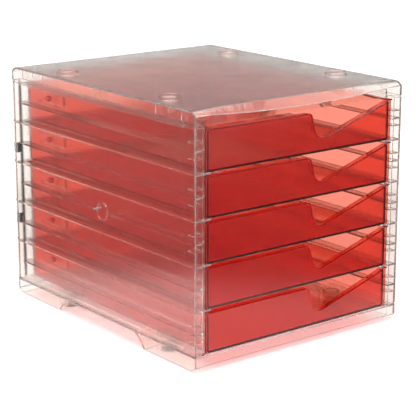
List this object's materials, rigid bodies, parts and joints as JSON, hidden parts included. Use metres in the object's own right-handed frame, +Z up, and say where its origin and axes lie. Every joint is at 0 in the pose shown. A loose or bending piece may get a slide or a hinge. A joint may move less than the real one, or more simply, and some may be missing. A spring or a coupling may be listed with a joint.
{
  "type": "desktop drawer box",
  "caption": "Clear plastic desktop housing with translucent red document trays that slide out, finger openings, stacking rings and soft feet.",
  "frame": {"origin": "on the table, under the middle of the housing", "axes": "+X to the right seen from the front, +Y towards the back, +Z up; the trays open towards -Y"},
  "size_m": [0.34, 0.415, 0.3285],
  "materials": {
    "clear_housing": "clear glossy polystyrene with a faint grey tint",
    "satin_cover": "clear polystyrene with a satin top",
    "red_tray": "translucent red polystyrene, glossy with a fine satin grain",
    "soft_pad": "matt soft elastomer"
  },
  "bodies": {
    "housing": {"base": "clear_housing", "side_panel_left": "clear_housing", "side_panel_right": "clear_housing", "back_panel": "clear_housing", "top_cover": "satin_cover", "foot_pad_front_left": "soft_pad", "foot_pad_front_right": "soft_pad", "foot_pad_back_left": "soft_pad", "foot_pad_back_right": "soft_pad"},
    "tray_1": {"drawer_1": "red_tray"},
    "tray_2": {"drawer_2": "red_tray"},
    "tray_3": {"drawer_3": "red_tray"},
    "tray_4": {"drawer_4": "red_tray"},
    "tray_5": {"drawer_5": "red_tray"}
  },
  "joints": [
    {"name": "drawer_1_slide", "type": "slide", "parent": "housing", "child": "tray_1", "axis": [0, -1, 0], "range_m": [0, 0.32]},
    {"name": "drawer_2_slide", "type": "slide", "parent": "housing", "child": "tray_2", "axis": [0, -1, 0], "range_m": [0, 0.32]},
    {"name": "drawer_3_slide", "type": "slide", "parent": "housing", "child": "tray_3", "axis": [0, -1, 0], "range_m": [0, 0.32]},
    {"name": "drawer_4_slide", "type": "slide", "parent": "housing", "child": "tray_4", "axis": [0, -1, 0], "range_m": [0, 0.32]},
    {"name": "drawer_5_slide", "type": "slide", "parent": "housing", "child": "tray_5", "axis": [0, -1, 0], "range_m": [0, 0.32]}
  ]
}
